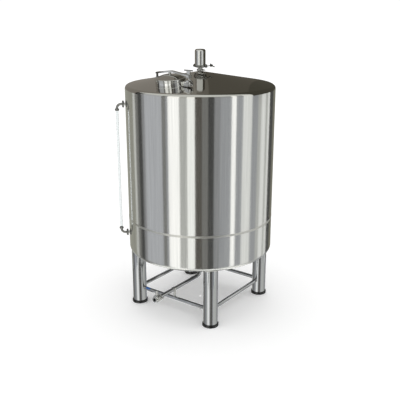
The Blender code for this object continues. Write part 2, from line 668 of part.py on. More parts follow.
def make_plain():
    """Turns every part into a plain mesh, shades its round faces smooth, and drops the cutters."""
    bpy.context.view_layer.update()
    graph = bpy.context.evaluated_depsgraph_get()
    parts = [part for part in PARTS.objects if part.type == "MESH"]
    meshes = [bpy.data.meshes.new_from_object(part.evaluated_get(graph)) for part in parts]
    for part, mesh in zip(parts, meshes):
        part.modifiers.clear()
        part.data = mesh
        mesh.name = part.name
        mesh.shade_smooth()
        mesh.set_sharp_from_angle(angle=math.radians(35))
    for tool in list(CUTTERS.objects):
        bpy.data.objects.remove(tool, do_unlink=True)


def build():
    manway_frame = empty("manway_frame", (MANWAY_X, MANWAY_Y, MANWAY_Z), (MANWAY_LEAN, 0, 0))
    add_shell()
    add_roof(manway_frame)
    add_bottom_head()
    add_legs()
    add_braces()
    add_outlet_pipe()
    add_valve()
    add_manway(manway_frame)
    add_gauge()
    add_vent()
    make_plain()


build()
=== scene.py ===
# %% [markdown]
# A glycol tank holds the cold liquid of a cooling plant. It is an upright, insulated vessel of
# polished stainless steel sheet on four tube legs. Nearly all of its pieces are turned shapes,
# tubes and bent plates, so this lesson works out each one as a surface of two parameters and
# gives it the finish that a tank maker gives it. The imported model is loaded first, because every
# size and place comes from it.

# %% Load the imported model
import math

import bmesh
import bpy
import numpy as np
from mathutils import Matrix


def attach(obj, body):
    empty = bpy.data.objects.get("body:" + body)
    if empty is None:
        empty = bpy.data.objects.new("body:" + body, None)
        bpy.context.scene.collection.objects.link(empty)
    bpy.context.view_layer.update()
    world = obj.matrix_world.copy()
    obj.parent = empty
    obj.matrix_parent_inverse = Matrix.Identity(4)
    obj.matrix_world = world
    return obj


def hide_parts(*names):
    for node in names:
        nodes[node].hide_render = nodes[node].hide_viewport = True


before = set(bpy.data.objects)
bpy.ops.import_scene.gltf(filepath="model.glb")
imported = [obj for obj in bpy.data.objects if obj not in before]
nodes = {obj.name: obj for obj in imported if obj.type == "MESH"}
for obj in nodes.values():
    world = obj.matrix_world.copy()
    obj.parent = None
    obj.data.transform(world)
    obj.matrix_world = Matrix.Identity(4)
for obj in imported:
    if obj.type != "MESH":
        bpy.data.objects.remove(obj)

scene = bpy.context.scene
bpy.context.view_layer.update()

# %% [markdown]
# A mesh here is one or more grids of points. Neighbouring rows and columns of a grid are joined
# by quads, and a direction that wraps joins its last row to its first. One function turns grids
# into a finished piece: it merges the points that meet at poles and seams, turns the faces
# outwards, shades it smooth and lets it ride on its body. So a piece's own code is its formula.

# %% Grids and finished pieces
def grid(points, wrap_rows=False, wrap_columns=True):
    """A grid of rows x columns points as (points, quads): each quad joins a point to its next column,
    to the same column of the next row, and back."""
    rows, columns = points.shape[:2]
    row = np.arange(rows if wrap_rows else rows - 1)[:, None]
    column = np.arange(columns if wrap_columns else columns - 1)[None, :]
    below, right = (row + 1) % rows, (column + 1) % columns
    here, under = row * columns, below * columns
    corners = [here + column, here + right, under + right, under + column]
    quads = np.stack(np.broadcast_arrays(*corners), axis=-1).reshape(-1, 4)
    return points.reshape(-1, 3), quads


MERGE = 2e-6
SHARP = math.radians(35)


def linked(name, data):
    """A new object with this data, in the scene."""
    made = bpy.data.objects.new(name, data)
    scene.collection.objects.link(made)
    return made


def new_piece(name, mesh, material, body, replaces):
    """Shades the mesh smooth and links it as a piece that rides on a body and replaces CAD nodes."""
    mesh.shade_smooth()
    mesh.set_sharp_from_angle(angle=SHARP)
    mesh.materials.append(material)
    made = linked(name, mesh)
    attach(made, body)
    if replaces:
        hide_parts(*replaces)
    print(f"{name}: {len(mesh.polygons)} faces")


def piece(name, grids, material, body="tank", replaces=()):
    """One smooth, closed mesh from several grids."""
    starts = np.cumsum([0] + [len(points) for points, _ in grids[:-1]])
    points = np.concatenate([points for points, _ in grids])
    quads = np.concatenate([quads + start for (_, quads), start in zip(grids, starts)])
    mesh = bpy.data.meshes.new(name)
    mesh.from_pydata(points, [], quads)
    shape = bmesh.new()
    shape.from_mesh(mesh)
    bmesh.ops.remove_doubles(shape, verts=shape.verts, dist=MERGE)
    bmesh.ops.recalc_face_normals(shape, faces=shape.faces)
    shape.to_mesh(mesh)
    shape.free()
    new_piece(name, mesh, material, body, replaces)


# %% [markdown]
# A frame places a shape. It stands at a point, with a chosen direction as its third axis, and is
# a 4 x 4 array whose columns are its three axes and its origin.

# %% Frames
def frame_at(origin, third=(0, 0, 1), first=(1, 0, 0)):
    """A frame at origin. Its third axis is third, and its first is as near to first as it can be."""
    third = np.asarray(third, float) / np.linalg.norm(third)
    second = np.cross(third, first)
    if np.linalg.norm(second) < 1e-6:
        second = np.cross(third, (0, 1, 0))
    second /= np.linalg.norm(second)
    made = np.eye(4)
    made[:3, 0] = np.cross(second, third)
    made[:3, 1] = second
    made[:3, 2] = third
    made[:3, 3] = origin
    return made


def placed(local, place):
    """Local points as points of the world."""
    return local @ place[:3, :3].T + place[:3, 3]


WORLD = np.eye(4)

# %% [markdown]
# Most fittings are lathe work. A profile of radius and height is turned about the frame's third
# axis, and a real edge is never a knife edge, so each corner of the profile is first replaced by
# a small curve. That curve is what catches the light along the rims.

# %% Turned shapes
def rounded(profile, radius, closed=False, steps=4):
    """Each corner c becomes the curve (1-s)^2 a + 2 s (1-s) c + s^2 b, where a and b lie on the two
    edges at the radius from the corner, or nearer on a short edge. An open profile keeps its ends."""
    corner = np.asarray(profile, float)

    def towards(other):
        step = other - corner
        length = np.linalg.norm(step, axis=1, keepdims=True)
        return corner + step / length * np.minimum(radius, 0.45 * length)

    a, b = towards(np.roll(corner, 1, axis=0)), towards(np.roll(corner, -1, axis=0))
    if not closed:
        a[0], b[0], a[-1], b[-1] = corner[0], corner[0], corner[-1], corner[-1]
    s = np.linspace(0, 1, steps + 1)[None, :, None]
    curve = (1 - s) ** 2 * a[:, None] + 2 * s * (1 - s) * corner[:, None] + s**2 * b[:, None]
    return curve.reshape(-1, 2)


def around(steps):
    return np.linspace(0, 2 * np.pi, steps, endpoint=False)


def spun(profile, t):
    """Points (r cos t, r sin t, h) for each (r, h) of a profile and each angle t."""
    radius, height = np.asarray(profile, float).T[:, :, None]
    return np.stack([radius * np.cos(t), radius * np.sin(t), height + 0 * t], axis=-1)


def turned(profile, place=WORLD, steps=96, closed=False):
    """A profile turned once round the frame's third axis."""
    return grid(placed(spun(profile, around(steps)), place), wrap_rows=closed)


def ring(profile, edge, place=WORLD, steps=96):
    """A closed profile turned into a ring with a hole, its corners rounded by edge."""
    return turned(rounded(profile, edge, closed=True), place, steps, closed=True)


def square(inner, outer, low, high):
    """The profile with four corners between two radii and two heights."""
    return [(inner, low), (outer, low), (outer, high), (inner, high)]


def flanged(inner, outer, low, high, flange_r, flange_t):
    """The profile of a tube with a flange at its high end."""
    under = high - flange_t
    return [(inner, low), (outer, low), (outer, under), *square(inner, flange_r, under, high)[1:]]


def rod(start, end, radius, edge=0.0006, steps=48):
    """A round bar between two points, turned about the line between them, with softened ends."""
    start, end = np.asarray(start, float), np.asarray(end, float)
    profile = square(0, radius, 0, np.linalg.norm(end - start))
    return turned(rounded(profile, edge), frame_at(start, end - start), steps)


# %% [markdown]
# The camera stands where the photograph's stood. It was found from the tank's own outline: the
# ellipse of the roof gives the pitch, the four feet give the distance and the turn. The picture
# is square, so the lens alone sets the view.

# %% Camera
CAMERA_AT = (3.5636, -4.9041, 2.9768)
CAMERA_TURN = 36.018
CAMERA_PITCH = 17.596
CAMERA_LENS, SENSOR_MM = 57.33, 36

camera = linked("camera", bpy.data.cameras.new("camera"))
camera.location = CAMERA_AT
camera.rotation_euler = (math.radians(90 - CAMERA_PITCH), 0, math.radians(CAMERA_TURN))
camera.data.lens = CAMERA_LENS
camera.data.sensor_width = SENSOR_MM
camera.data.clip_end = 500
scene.camera = camera
print("camera at", CAMERA_AT, "lens", CAMERA_LENS)

# %% [markdown]
# Colours are written as the sRGB hex values that a painter's chart gives, and one function turns
# them into the linear values that the renderer mixes. Another adds a node, whose inputs are values
# or the outputs of other nodes, and the last lets one noise stir a whole finish.

# %% Colours and nodes
def linear(code):
    """sRGB hex to linear RGBA: v / 12.92 to 0.04045, and ((v + 0.055) / 1.055) ** 2.4 above."""
    value = np.array([int(code[i : i + 2], 16) for i in (1, 3, 5)]) / 255
    mixed = np.where(value <= 0.04045, value / 12.92, ((value + 0.055) / 1.055) ** 2.4)
    return (*mixed.tolist(), 1.0)


def add(tree, kind, inputs=None, **settings):
    """Adds one shader node. Settings are its properties; an input is a value or a socket."""
    made = tree.nodes.new("ShaderNode" + kind)
    for key, value in settings.items():
        setattr(made, key, value)
    for key, value in (inputs or {}).items():
        if isinstance(value, bpy.types.NodeSocket):
            tree.links.new(value, made.inputs[key])
        else:
            made.inputs[key].default_value = value
    return made


def finish_named(name, inputs):
    """A new material whose Principled shader has these inputs, with its tree and that shader."""
    material = bpy.data.materials.new(name)
    material.use_nodes = True
    shader = material.node_tree.nodes["Principled BSDF"]
    for key, value in inputs.items():
        shader.inputs[key].default_value = value
    return material, material.node_tree, shader


def stir(tree, shader, noise, colours, roughness, spread, bump_inputs):
    """One noise mixes the two colours, moves the roughness by up to the spread, and raises bumps."""
    first, second = (linear(code) for code in colours)
    mixed = add(tree, "Mix", {0: noise, 6: first, 7: second}, data_type="RGBA")
    limits = {"To Min": roughness - spread, "To Max": roughness + spread}
    rough = add(tree, "MapRange", {"Value": noise, **limits})
    bump = add(tree, "Bump", {"Height": noise, "Strength": 1.0, **bump_inputs})
    for made, output, key in ((mixed, 2, "Base Color"), (rough, 0, "Roughness"), (bump, 0, "Normal")):
        tree.links.new(made.outputs[output], shader.inputs[key])


# %% [markdown]
# Polished steel shows its surroundings and hardly anything of its own, so the studio matters as
# much as the metal. The floor and the plain world are white and light the tank softly from all
# sides, and they are what the camera sees. Both are hidden from reflections, because a tank that
# mirrored an empty white room would have no form.

# %% Floor and world
STUDIO_WHITE = "#FFFFFF"
FLOOR_COLOUR = "#FAFAFA"
FLOOR_GLOW = 0.15
FLOOR_R = 400
WORLD_STRENGTH = 1.03

world = bpy.data.worlds.new("white_studio")
world.use_nodes = True
background = world.node_tree.nodes["Background"].inputs
background["Color"].default_value = linear(STUDIO_WHITE)
background["Strength"].default_value = WORLD_STRENGTH
world.cycles_visibility.glossy = False
scene.world = world
scene.view_settings.view_transform = "Standard"


def stage_piece(name, grids, material):
    """A mesh of the studio, which isn't part of the object."""
    points, quads = grids
    mesh = bpy.data.meshes.new(name)
    mesh.from_pydata(points, [], quads)
    mesh.materials.append(material)
    made = linked(name, mesh)
    return made


def glowing(name, colour, base, strength):
    """A matt surface that also gives light, but only to what looks at it."""
    values = {"Base Color": linear(base), "Roughness": 1.0, "Specular IOR Level": 0.0}
    values.update({"Emission Color": linear(colour), "Emission Strength": strength})
    made, _, _ = finish_named(name, values)
    made.cycles.emission_sampling = "NONE"
    return made


floor_rings = [(0.01, 0.0), (2.0, 0.0), (20.0, 0.0), (FLOOR_R, 0.0)]
floor_finish = glowing("pale_floor", STUDIO_WHITE, FLOOR_COLOUR, FLOOR_GLOW)
stage_piece("floor", turned(floor_rings, steps=64), floor_finish).visible_glossy = False

# %% [markdown]
# What the steel does show is a tent of light and dark panels, as a photographer hangs round a
# polished object. They stand as long upright bands on the round wall. Each panel starts at a
# bearing, in degrees about the tank's axis from its right side, and runs to the next one; the
# camera stands at -54. On the camera's side the panels reach higher, for the manway's neck.
# Above them the near side is light and the far side brown, and that brown is what the roof shows.
# The legs look lower, past the foot of the tent, to a horizon of panels that stands so far away
# that all four legs show the same bands.

# %% Tent of panels
SHADES = {
    "white": "#F7F7F4", "milk": "#EAEBE7", "pale": "#D2D3D0", "light": "#B9BAB6", "grey": "#A6A7A3",
    "blue": "#A4A6A9", "steel": "#8F9193", "haze": "#828384", "smoke": "#6E6E6B", "brown": "#504D48",
    "black": "#424241", "olive": "#84847B", "moss": "#6A695F", "taupe": "#706C66", "umber": "#45423B",
    "bronze": "#3C3A33", "loam": "#6B6861", "peat": "#56534C", "night": "#232322",
}
PANELS = [
    (-186, "olive"), (-153, "light"), (-147, "smoke"), (-140, "black"), (-132, "haze"), (-127, "blue"),
    (-100, "smoke"), (-95, "steel"), (-92, "white"), (-78, "grey"), (-69, "milk"), (-60, "brown"),
    (-52, "smoke"), (-45, "black"), (-38, "haze"), (-31, "steel"), (-17, "white"), (-11, "steel"),
    (-2, "pale"), (12, "steel"), (23, "grey"), (30, "pale"), (40, "grey"), (46, "pale"), (52, "black"),
    (67, "moss"), (92, "pale"), (100, "smoke"), (108, "blue"), (128, "white"), (136, "steel"),
    (150, "black"), (160, "light"), (168, "olive"),
]
CANOPY = [(-144, "light"), (12, "bronze"), (100, "umber"), (121, "peat"), (128, "loam"), (135, "taupe")]
HORIZON = [
    (-186, "smoke"), (-150, "haze"), (-132, "steel"), (-118, "grey"), (-106, "pale"), (-96, "white"),
    (-76, "pale"), (-67, "grey"), (-60, "smoke"), (-51, "brown"), (-38, "smoke"), (-30, "haze"),
    (-20, "light"), (32, "grey"), (58, "haze"), (84, "steel"), (140, "grey"), (170, "haze"),
]
TENT_R, HORIZON_R = 1.60, 8.00
TENT_FOOT, FAR_TOP, NEAR_TOP, CANOPY_TOP = -0.04, 2.10, 2.75, 4.40
BOTTOM_R, BOTTOM_Z, HORIZON_FOOT = 0.95, -1.60, -8.00
PANEL_GAIN = 1.66

PANEL_FINISH = {name: glowing(f"panel_{name}", SHADES[name], "#000000", PANEL_GAIN) for name in SHADES}


def panel(name, shade, start, end, line):
    """A line of (r, h) turned from bearing start to end. It shows in reflections alone: it throws no
    shadow, and neither the camera nor the floor knows it."""
    points = spun(line, np.radians(np.linspace(start, end, 13)))
    made = stage_piece(name, grid(points, wrap_columns=False), PANEL_FINISH[shade])
    for ray in ("camera", "diffuse", "transmission", "volume_scatter", "shadow"):
        setattr(made, f"visible_{ray}", False)


def ring_of_panels(name, shades, line_at):
    """Panels all the way round. Each starts at its own bearing, ends at the next one's, and has the
    line that line_at gives for its start."""
    ends = [start for start, _ in shades[1:]] + [shades[0][0] + 360]
    for index, ((start, shade), end) in enumerate(zip(shades, ends)):
        panel(f"{name}_{index}", shade, start, end, line_at(start))


def wall_top(bearing):
    """The height at which the wall of the tent ends: higher under the canopy's first, light panel."""
    return NEAR_TOP if CANOPY[0][0] <= bearing < CANOPY[1][0] else FAR_TOP


def canopy_line(bearing):
    return [(TENT_R, wall_top(bearing)), (TENT_R, CANOPY_TOP), (0, CANOPY_TOP)]


ring_of_panels("panel", PANELS, lambda bearing: [(TENT_R, TENT_FOOT), (TENT_R, wall_top(bearing))])
ring_of_panels("canopy", CANOPY, canopy_line)
ring_of_panels("horizon", HORIZON, lambda _: [(HORIZON_R, HORIZON_FOOT), (HORIZON_R, TENT_FOOT)])
panel("tent_bottom", "night", 0, 360, [(0, BOTTOM_Z), (BOTTOM_R, BOTTOM_Z)])
panel("tent_skirt", "milk", 0, 360, [(BOTTOM_R, BOTTOM_Z), (HORIZON_R, HORIZON_FOOT)])
print("panels:", len(PANELS), "canopy:", len(CANOPY), "horizon:", len(HORIZON))

# %% [markdown]
# Stainless steel is pale grey and metallic, and its pieces are told apart by how each was
# finished; two finishes are also painted darker, as painted shade. One function makes every
# finish, because only numbers differ: how dark the metal is, how much it blurs, its lines and its
# waves. A pixel of the picture is about 9 mm of the tank, and real lines and grains are finer than
# one, so they are drawn some millimetres wide.

# %% Stainless steel
def steel(name, colour, tint, roughness, spread, lines, waves, smear=0.0):
    """lines are (width, length, depth) of a fine noise along Z, and waves (width, depth) of a slow
    one, in mm. The roughness is roughness + spread * (2 noise - 1)."""
    values = {"Metallic": 1.0, "Anisotropic": smear, "Anisotropic Rotation": 0.25}
    material, tree, shader = finish_named(name, values)
    place = add(tree, "TexCoord").outputs["Object"]
    width, length, depth = lines
    drawn_out = add(tree, "Mapping", {"Vector": place, "Scale": (1.0, 1.0, width / length)})
    fine_inputs = {"Vector": drawn_out.outputs[0], "Scale": 1000 / width}
    fine_inputs.update({"Detail": 3.0, "Roughness": 0.6})
    fine = add(tree, "TexNoise", fine_inputs).outputs["Fac"]
    slow = add(tree, "TexNoise", {"Vector": place, "Scale": 1000 / waves[0], "Detail": 1.0})
    wave_inputs = {"Height": slow.outputs["Fac"], "Strength": 1.0, "Distance": waves[1] / 1000}
    waved = add(tree, "Bump", wave_inputs).outputs[0]
    bump_inputs = {"Distance": depth / 1000, "Normal": waved}
    stir(tree, shader, fine, (colour, tint), roughness, spread, bump_inputs)
    if smear:
        tangent = add(tree, "Tangent", None, direction_type="RADIAL", axis="Z")
        tree.links.new(tangent.outputs[0], shader.inputs["Tangent"])
    return material


# Rolled between polished rolls: a mirror that smears up and down, with faint upright lines.
SHEET_LINES, SHEET_WAVES = (14, 600, 0.05), (320, 0.15)
SHEET_COLOURS = ("#BEBEBD", "#D9D9D7")
SHEET = steel("bright_annealed_304_sheet", *SHEET_COLOURS, 0.17, 0.03, SHEET_LINES, SHEET_WAVES, 0.9)
# Polished by wheel: the sharpest mirror, with slow waves that bend what it shows.
CONE = steel("mirror_polished_304_cone", "#C6C5C1", "#CECDC9", 0.07, 0.02, (6, 6, 0.0), (240, 0.2))
# Drawn and then buffed: bright bands along the tube, with soft ends.
BUFFED = steel("buffed_304_tube", "#AFB0B2", "#BBBCBE", 0.12, 0.04, (5, 200, 0.01), (180, 0.15), 0.5)
# Smoothed by acid and current: bright even in its corners.
CAST = steel("electropolished_316_fitting", "#CDCDCB", "#D8D8D5", 0.10, 0.03, (4, 4, 0.005), (60, 0.05))
# Left as the lathe leaves it: less sharp than polished metal. Its darker grey is painted shade,
# for the dark surroundings that these fittings mirror.
MACHINED = steel("machined_304_bar_painted_shade", "#858583", "#94948F", 0.16, 0.04, (3, 3, 0.01), (60, 0.05))
# Left as the acid bath leaves it: matt, and painted dark grey as painted shade for the shade
# under the tank, so it mirrors nothing.
PICKLED = steel("pickled_304_plate_painted_shade", "#6C6C6A", "#7A7A78", 0.45, 0.05, (3, 3, 0.02), (60, 0.1))
# Brushed by hand: a pale, matt line.
WELD = steel("brushed_304_weld", "#BEBDB8", "#CFCEC9", 0.42, 0.08, (2, 2, 0.05), (8, 0.2))
print("steels:", [m.name for m in (SHEET, CONE, BUFFED, CAST, MACHINED, PICKLED, WELD)])

# %% [markdown]
# The few pieces that aren't steel are rubber and plain plastics. Each has one noise as its grain.

# %% Plastics and rubber
def plastic(name, colour, tint, roughness, grain_mm, depth_mm, **inputs):
    """A dielectric with a grain of this size and depth. The roughness varies by a fifth of itself."""
    material, tree, shader = finish_named(name, inputs)
    place = add(tree, "TexCoord").outputs["Object"]
    grain_inputs = {"Vector": place, "Scale": 1000 / grain_mm, "Detail": 4.0}
    grain = add(tree, "TexNoise", grain_inputs).outputs["Fac"]
    bump_inputs = {"Distance": depth_mm / 1000}
    stir(tree, shader, grain, (colour, tint), roughness, 0.2 * roughness, bump_inputs)
    return material


# Moulded: black, with the soft gloss of its steel mould.
RUBBER = plastic("moulded_black_rubber", "#070708", "#0D0D0E", 0.22, 9, 0.05, IOR=1.52)
# Dipped: a thick blue skin with a fine orange peel.
VINYL = plastic("dipped_blue_vinyl", "#255290", "#30609F", 0.34, 4, 0.10, IOR=1.53)
# Extruded: so clear and even that only its edges show. A true IOR of 1.49 would show too much.
CLEAR = {"IOR": 1.3, "Transmission Weight": 1.0}
ACRYLIC = plastic("extruded_clear_acrylic", "#EEF1F1", "#F3F5F5", 0.02, 40, 0.0, **CLEAR)
# Pressed: matt black, seen only as a thin line.
GASKET = plastic("pressed_black_gasket", "#161616", "#202020", 0.7, 3, 0.05, IOR=1.5)
print("plastics:", [m.name for m in (RUBBER, VINYL, ACRYLIC, GASKET)])

# %% [markdown]
# The wall is two rolled courses of sheet, 710 mm in radius. Each is one closed ring: the outer
# skin, the inner skin 50 mm inside it, and the two edges between. A few rows up the wall are
# enough, but it takes many steps round it, because a mirror shows every facet.

# %% Tank wall
TANK_R, INNER_R = 0.710, 0.660
ROOF_RIM_Z, SEAM_Z, HEAD_RIM_Z = 2.200, 0.926, 0.583
CONE_RISE = 0.1267
ROOF_BEND, HEAD_BEND = 0.034, 0.048
SLOPE = math.atan2(CONE_RISE, TANK_R)
SKIN_GAP = 0.0005
WALL_STEPS = 360


def roof_z(radius):
    """Height of the top cone: it falls evenly from its tip to the rim."""
    return ROOF_RIM_Z + CONE_RISE * (1 - radius / TANK_R)


def head_z(radius):
    """Height of the bottom cone: it rises evenly from its tip to the rim."""
    return HEAD_RIM_Z - CONE_RISE * (1 - radius / TANK_R)


def knuckle(size, cone, up):
    """The rounded rim between wall and cone, as (r, z) from the wall inwards, and its centre's height.
    It is an arc that touches the wall line r = TANK_R and the cone line."""
    centre_r = TANK_R - size
    centre_z = cone(centre_r) - up * size / math.cos(SLOPE)
    angle = np.linspace(0, math.pi / 2 - SLOPE, 13)
    radius, height = centre_r + size * np.cos(angle), centre_z + up * size * np.sin(angle)
    return np.stack([radius, height], axis=-1), centre_z


top_rim, ROOF_EDGE_Z = knuckle(ROOF_BEND, roof_z, 1)
bottom_rim, HEAD_EDGE_Z = knuckle(HEAD_BEND, head_z, -1)


def course(name, low, high):
    """One course of the wall between two heights."""
    heights = np.linspace(low, high, 5)
    outer = [(TANK_R, height) for height in heights]
    inner = [(INNER_R, height) for height in heights[::-1]]
    wall = turned(outer + inner, steps=WALL_STEPS, closed=True)
    halves = [f"shell_{name}_front", f"shell_{name}_back"]
    piece(f"{name}_course", [wall], SHEET, replaces=halves)


course("upper", SEAM_Z, ROOF_EDGE_Z)
course("lower", HEAD_EDGE_Z, SEAM_Z)

# %% [markdown]
# The bottom head is a shallow cone with a rounded rim. The cone is thick plate, matt as the acid
# bath leaves it and painted dark grey as painted shade for the shade under the tank, and is one
# closed ring from the riser's hole outwards. The rim is bright sheet again, and a true arc, so the
# light runs round the lower edge in one soft line.

# %% Bottom head
HOLE_R = 0.0185
HEAD_NODES = ["bottom_head_front", "bottom_head_back"]

head_lining = HEAD_EDGE_Z - SKIN_GAP - head_z(INNER_R)
plate_r = np.linspace(HOLE_R, INNER_R, 12)
plate_under = np.stack([plate_r, head_z(plate_r)], axis=-1)
plate_over = np.stack([plate_r, head_z(plate_r) + head_lining], axis=-1)[::-1]
cone_plate = turned(np.concatenate([plate_under, plate_over]), steps=WALL_STEPS, closed=True)
# The cone is painted dark grey, as painted shade for the shade under the tank.
piece("bottom_cone", [cone_plate], PICKLED, replaces=HEAD_NODES)
rim_line = np.concatenate([[(INNER_R, head_z(INNER_R))], bottom_rim[::-1], [(INNER_R, HEAD_EDGE_Z)]])
rim_ring = turned(rim_line, steps=WALL_STEPS, closed=True)
piece("bottom_knuckle", [rim_ring], SHEET, replaces=HEAD_NODES)

# %% [markdown]
# The roof is the same cone upside down, but the manway opens through it off the axis. The manway
# leans forwards, less than the cone does, so its middle is slid along its own axis onto the cone.
# The roof's grid runs from the edge of that opening out to the rim: each column is a ray from the
# middle of the opening, and the height of every point is the cone's. The lining runs back below
# it, and the grid closes on itself.

# %% Roof
MANWAY_AT = (0.002, -0.448, 2.2368)
MANWAY_LEAN = math.radians(5)
LEAN = (0.0, -math.sin(MANWAY_LEAN), math.cos(MANWAY_LEAN))
OPENING_R = 0.1325


def onto_roof(points):
    """Slides points along the manway's axis until each one's height is the cone's. Each step adds the
    height that is still missing, and six steps leave nothing that shows."""
    for _ in range(6):
        gap = roof_z(np.linalg.norm(points[:, :2], axis=1)) - points[:, 2]
        points = points + gap[:, None] * np.array(LEAN)
    return points


def roof_grid(rows=64, steps=WALL_STEPS):
    """In plan a point is (1-s) hole + s rim, s from 0 to 1. The rim is at bearing t, and the hole's
    point lies on the ray from its middle to the rim. Outside, z is the cone's; inside, the lining's."""
    t = around(steps)
    rim = np.stack([np.cos(t), np.sin(t)], axis=-1)
    middle = onto_roof(np.array([MANWAY_AT]))[0, :2]
    ray = rim * top_rim[-1, 0] - middle
    ray /= np.linalg.norm(ray, axis=1, keepdims=True)
    hole = middle + OPENING_R * ray * (1.0, math.cos(SLOPE))
    lining = ROOF_EDGE_Z + SKIN_GAP - roof_z(INNER_R)

    def skin(radius, lift, s):
        plan = (1 - s)[:, None, None] * hole + s[:, None, None] * rim * radius
        height = roof_z(np.linalg.norm(plan, axis=-1, keepdims=True)) + lift
        return np.concatenate([plan, height], axis=-1)

    def level(radius, height):
        return np.concatenate([rim * radius, np.full((steps, 1), height)], axis=-1)[None]

    outside = skin(top_rim[-1, 0], 0.0, np.linspace(0, 1, rows))
    edge = [level(radius, height) for radius, height in top_rim[-2::-1]]
    inside = skin(INNER_R, lining, np.linspace(1, 0, 20))
    points = np.concatenate([outside, *edge, level(INNER_R, ROOF_EDGE_Z), inside])
    return grid(points, wrap_rows=True)


piece("roof_cone", [roof_grid()], CONE, replaces=["roof_front", "roof_back"])

# %% [markdown]
# A weld is a small rounded bead, laid down in overlapping drops, so its width ripples a little
# along its length. Every bead here is a closed loop of points with a small circle carried round
# it. The girth seam between the two courses was ground nearly flat and shows as a pale matt band.

# %% Weld beads
def bead(loop, out, up, size, ripples, flat=1.0, sides=10):
    """Points p + w (cos u * out + flat * sin u * up) round a closed loop p, with the width
    w = size (1 + 0.1 cos(ripples * t))."""
    t = around(len(loop))
    width = size * (1 + 0.1 * np.cos(ripples * t))[:, None, None]
    u = around(sides)[None, :, None]
    points = loop[:, None] + width * (np.cos(u) * out[:, None] + flat * np.sin(u) * up[:, None])
    return grid(points, wrap_rows=True)


def circle(radius, steps, place=WORLD):
    """A circle about the frame's third axis, and its outward and upward directions."""
    t = around(steps)
    out = np.stack([np.cos(t), np.sin(t), 0 * t], axis=-1) @ place[:3, :3].T
    up = np.broadcast_to(place[:3, 2], out.shape)
    return place[:3, 3] + radius * out, out, up


seam_loop, seam_out, seam_up = circle(TANK_R, 720, frame_at((0, 0, SEAM_Z)))
seam = bead(seam_loop, seam_out, seam_up, 0.0011, 180, flat=10.0)
piece("girth_seam", [seam], WELD)

# %% [markdown]
# Four tubes of 139.7 mm carry the tank. Each runs up to the bottom cone and is cut to its shape,
# so the top row of its grid takes its heights from the cone. A weld bead follows the same line.
# Below, each leg stands in a black rubber foot.

# %% Legs and feet
LEG_R, LEG_OFFSET = 0.06985, 0.4425
FOOT_R, FOOT_H = 0.0785, 0.027
CORNERS = {"front_left": (-1, -1), "front_right": (1, -1), "back_right": (1, 1), "back_left": (-1, 1)}


def head_outside(radius):
    """Height of the bottom head's outside: the cone, then the knuckle's arc, which ends at the wall."""
    past_centre = np.maximum(radius - (TANK_R - HEAD_BEND), 0)
    drop = np.sqrt(np.maximum(HEAD_BEND**2 - past_centre**2, 0))
    return np.where(radius < bottom_rim[-1, 0], head_z(radius), HEAD_EDGE_Z - drop)


def leg_line(x, y, steps=96):
    """The closed curve where a leg meets the head: (x + R cos t, y + R sin t, height of the head
    there), with its outward and upward directions."""
    plan, out, up = circle(LEG_R, steps, frame_at((x, y, 0)))
    plan[:, 2] = head_outside(np.linalg.norm(plan[:, :2], axis=1))
    return plan, out, up


def leg(x, y):
    """Rows rise evenly from the foot to the head's curve, and a point in the middle closes each end."""
    top, _, _ = leg_line(x, y)
    s = np.linspace(0, 1, 8)[:, None, None]
    bottom = top * (1, 1, 0) + (0, 0, FOOT_H - 0.004)
    rows = (1 - s) * bottom + s * top
    caps = [np.broadcast_to((x, y, row[:, 2].mean()), (1, len(top), 3)) for row in (rows[0], rows[-1])]
    return grid(np.concatenate([caps[0], rows, caps[1]]))


foot_profile = rounded(square(0, FOOT_R, 0, FOOT_H), 0.004)
leg_welds = []
for corner, (side_x, side_y) in CORNERS.items():
    x, y = side_x * LEG_OFFSET, side_y * LEG_OFFSET
    piece(f"leg_tube_{corner}", [leg(x, y)], BUFFED, replaces=[f"leg_{corner}"])
    foot = turned(foot_profile, frame_at((x, y, 0)))
    piece(f"rubber_foot_{corner}", [foot], RUBBER, replaces=[f"foot_{corner}"])
    leg_welds.append(bead(*leg_line(x, y), 0.005, 40))
piece("leg_top_welds", leg_welds, WELD)

# %% [markdown]
# Low down, four thin tubes tie the legs together in a square. Each end is welded where the thin
# tube meets the thick one, along the saddle curve of two crossing cylinders.

# %% Braces
TUBE_R = 0.01905
BRACE_Z = 0.158
BRACE_INSET = 0.05


def saddle(leg_at, towards, steps=48):
    """A brace point at angle a is R cos a to the side and R sin a up. It meets the leg at the distance
    sqrt(L^2 - (R cos a)^2) from the leg's axis. Its outward and forward directions come with it."""
    a = around(steps)[:, None]
    side = np.cross(towards, (0, 0, 1))
    across = np.cos(a) * side + np.sin(a) * np.array([0.0, 0.0, 1.0])
    reach = np.sqrt(LEG_R**2 - (TUBE_R * np.cos(a)) ** 2)
    return leg_at + TUBE_R * across + reach * towards, across, np.broadcast_to(towards, across.shape)


brace_welds = []
leg_axes = [np.array([*corner, 0.0]) * LEG_OFFSET + (0, 0, BRACE_Z) for corner in CORNERS.values()]
for side, start, end in zip(("front", "right", "back", "left"), leg_axes, leg_axes[1:] + leg_axes[:1]):
    along = (end - start) / np.linalg.norm(end - start)
    inset = BRACE_INSET * along
    bar = rod(start + inset, end - inset, TUBE_R, steps=64)
    piece(f"brace_{side}_tube", [bar], BUFFED, replaces=[f"brace_{side}"])
    for corner_at, towards in ((start, along), (end, -along)):
        brace_welds.append(bead(*saddle(corner_at, towards), 0.0035, 16))
piece("brace_welds", brace_welds, WELD)

# %% [markdown]
# The outlet leaves the middle of the head as a 1.5 inch tube, bends to the front and runs out
# below the tank. A bent tube is a circle carried along a path that lies in a plane. Where it is
# open, the inner wall is carried back along the same path, so the tube has its real wall. Pieces
# that are joined stand 0.3 mm apart, as their solids do.

# %% Outlet tube
GAP = 0.0003
BORE_R = 0.0174
OUTLET_Z = 0.2496
ELBOW_R = 0.057
PIPE_START, PIPE_END = 0.0613, 0.657
FLANGE_R, FLANGE_T = 0.02525, 0.006


